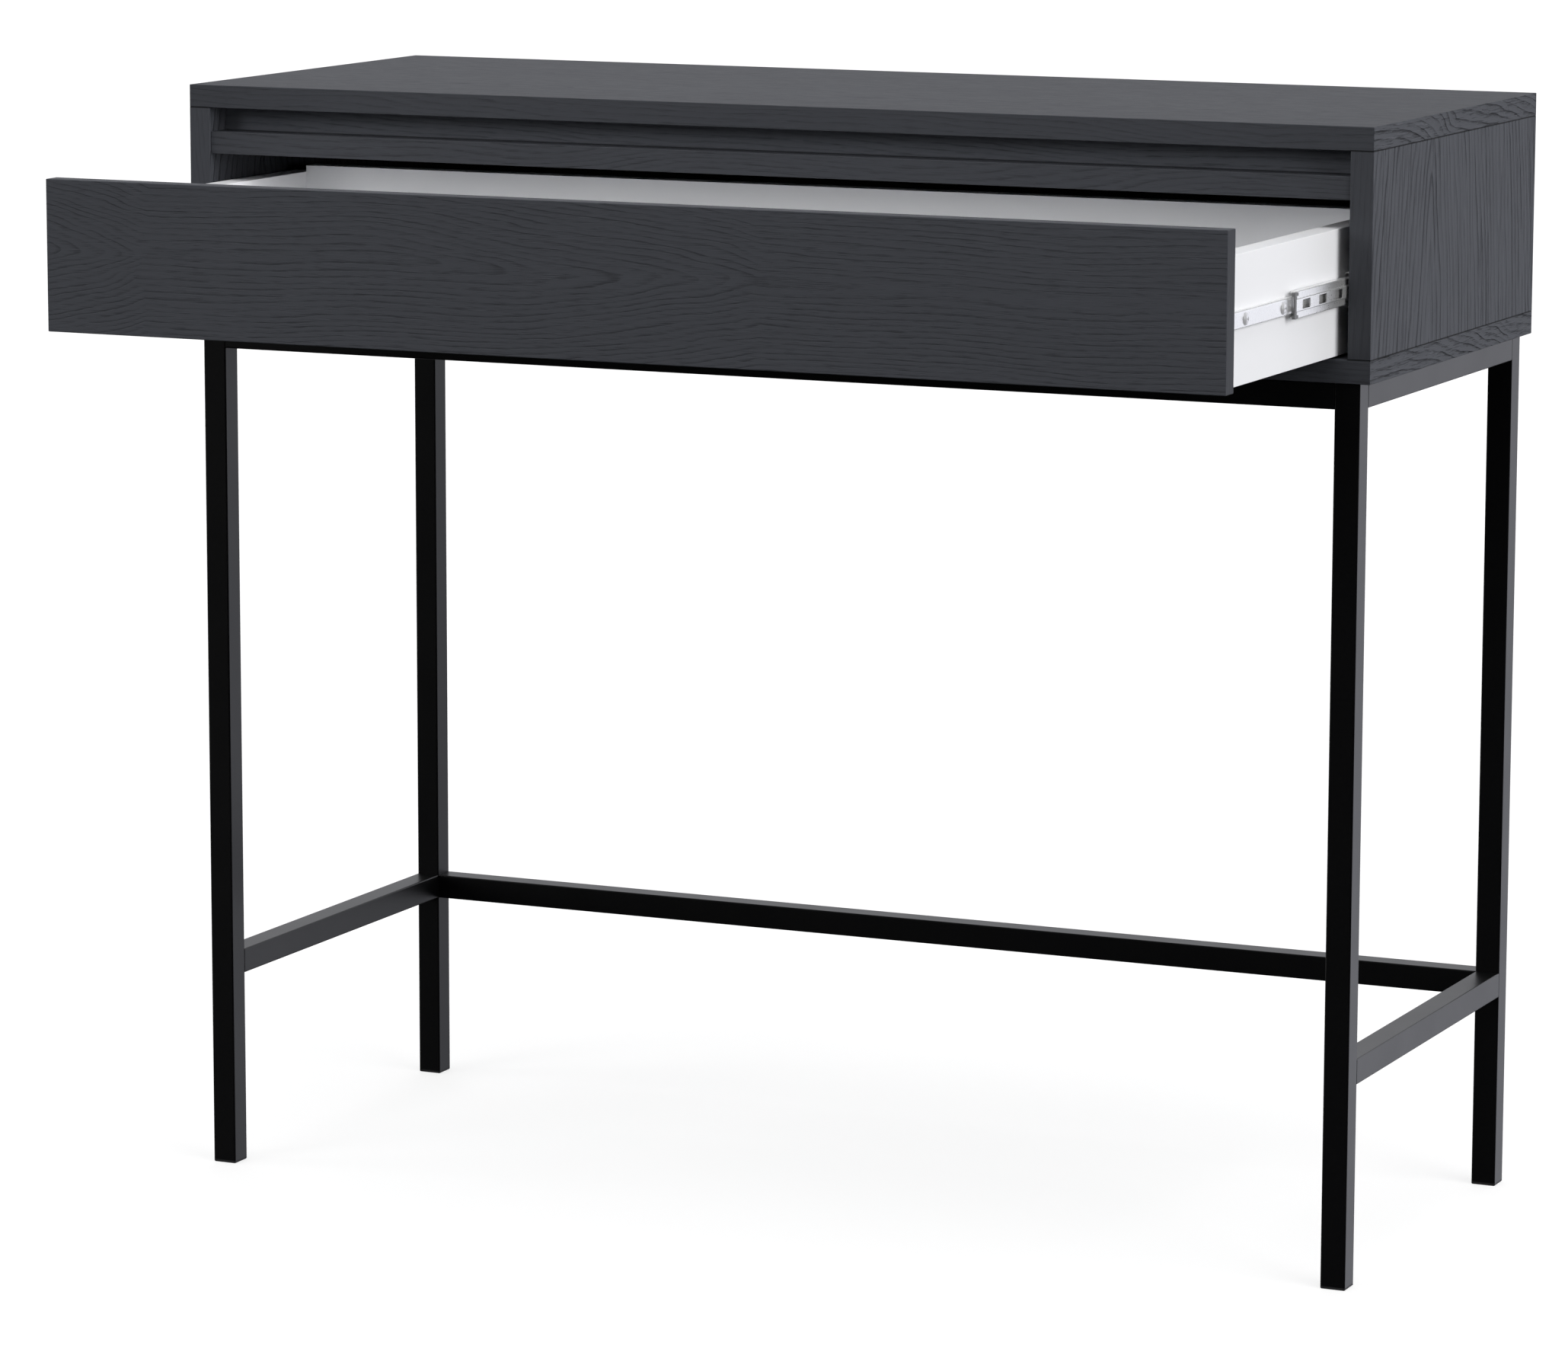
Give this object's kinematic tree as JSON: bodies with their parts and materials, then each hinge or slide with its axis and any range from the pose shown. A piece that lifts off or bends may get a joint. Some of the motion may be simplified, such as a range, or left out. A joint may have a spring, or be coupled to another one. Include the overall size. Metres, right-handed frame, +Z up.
{
  "type": "writing desk",
  "caption": "Slim console-style writing desk: dark wood-grain case with a full-width drawer on ball runners, carried by an open square-tube metal frame.",
  "frame": {"origin": "floor level, in the middle of the desk's footprint with the drawer open as modelled", "axes": "+X along the desk's width to the right as seen from the front, +Y from the drawer front to the back, +Z up"},
  "size_m": [1, 0.643, 0.884],
  "materials": {
    "wood_decor": "dark anthracite wood-grain decor, embossed, low sheen",
    "back_hardboard": "dark printed hardboard, matt",
    "drawer_white": "white melamine-faced board, fine orange-peel, low sheen",
    "powder_coat": "black powder coat, fine texture, satin",
    "zinc_steel": "zinc-plated sheet steel, soft sheen",
    "screw_steel": "zinc-plated screws",
    "ball_steel": "polished bearing balls",
    "black_plastic": "black moulded plastic",
    "cage_plastic": "natural moulded plastic",
    "cam_zinc": "cast zinc, satin",
    "beech": "beech dowel, fluted"
  },
  "bodies": {
    "desk": {"top_panel": "wood_decor", "bottom_panel": "wood_decor", "left_side_panel": "wood_decor", "right_side_panel": "wood_decor", "back_panel": "back_hardboard", "front_rail": "wood_decor", "recess_strip": "wood_decor", "front_left_leg": "powder_coat", "front_right_leg": "powder_coat", "rear_left_leg": "powder_coat", "rear_right_leg": "powder_coat", "left_frame_rail": "powder_coat", "right_frame_rail": "powder_coat", "front_frame_rail": "powder_coat", "rear_frame_rail": "powder_coat", "left_stretcher": "powder_coat", "right_stretcher": "powder_coat", "rear_stretcher": "powder_coat", "foot_glides": "black_plastic", "frame_screws": "screw_steel", "carcass_cams": "cam_zinc", "carcass_cam_bolts": "screw_steel", "wood_dowels": "beech", "strip_screws": "screw_steel", "back_panel_nails": "screw_steel", "cabinet_member_screws": "screw_steel", "left_cabinet_member": "zinc_steel", "right_cabinet_member": "zinc_steel"},
    "drawer": {"drawer_front": "wood_decor", "drawer_left_side": "drawer_white", "drawer_right_side": "drawer_white", "drawer_back": "drawer_white", "drawer_bottom": "drawer_white", "drawer_cams": "cam_zinc", "drawer_cam_bolts": "screw_steel", "drawer_dowels": "beech", "drawer_back_screws": "screw_steel", "drawer_bottom_tacks": "screw_steel", "drawer_member_screws": "screw_steel", "left_drawer_member": "zinc_steel", "right_drawer_member": "zinc_steel"},
    "left_runner_middle": {"left_middle_member": "zinc_steel", "left_middle_stop": "black_plastic"},
    "left_runner_outer_cage": {"left_outer_cage": "cage_plastic", "left_outer_balls": "ball_steel"},
    "left_runner_inner_cage": {"left_inner_cage": "cage_plastic", "left_inner_balls": "ball_steel"},
    "right_runner_middle": {"right_middle_member": "zinc_steel", "right_middle_stop": "black_plastic"},
    "right_runner_outer_cage": {"right_outer_cage": "cage_plastic", "right_outer_balls": "ball_steel"},
    "right_runner_inner_cage": {"right_inner_cage": "cage_plastic", "right_inner_balls": "ball_steel"}
  },
  "joints": [
    {"name": "drawer_slide", "type": "slide", "parent": "desk", "child": "drawer", "axis": [0, -1, 0], "range_m": [-0.256, 0.094]},
    {"name": "left_runner_middle_slide", "type": "slide", "parent": "desk", "child": "left_runner_middle", "axis": [0, -1, 0], "range_m": [-0.128, 0.047]},
    {"name": "left_runner_outer_cage_slide", "type": "slide", "parent": "desk", "child": "left_runner_outer_cage", "axis": [0, -1, 0], "range_m": [-0.064, 0.0235]},
    {"name": "left_runner_inner_cage_slide", "type": "slide", "parent": "left_runner_middle", "child": "left_runner_inner_cage", "axis": [0, -1, 0], "range_m": [-0.064, 0.0235]},
    {"name": "right_runner_middle_slide", "type": "slide", "parent": "desk", "child": "right_runner_middle", "axis": [0, -1, 0], "range_m": [-0.128, 0.047]},
    {"name": "right_runner_outer_cage_slide", "type": "slide", "parent": "desk", "child": "right_runner_outer_cage", "axis": [0, -1, 0], "range_m": [-0.064, 0.0235]},
    {"name": "right_runner_inner_cage_slide", "type": "slide", "parent": "right_runner_middle", "child": "right_runner_inner_cage", "axis": [0, -1, 0], "range_m": [-0.064, 0.0235]}
  ],
  "couplings": [
    {"joint": "left_runner_middle_slide", "follows": "drawer_slide", "ratio": 0.5},
    {"joint": "left_runner_outer_cage_slide", "follows": "drawer_slide", "ratio": 0.25},
    {"joint": "left_runner_inner_cage_slide", "follows": "drawer_slide", "ratio": 0.25},
    {"joint": "right_runner_middle_slide", "follows": "drawer_slide", "ratio": 0.5},
    {"joint": "right_runner_outer_cage_slide", "follows": "drawer_slide", "ratio": 0.25},
    {"joint": "right_runner_inner_cage_slide", "follows": "drawer_slide", "ratio": 0.25}
  ]
}
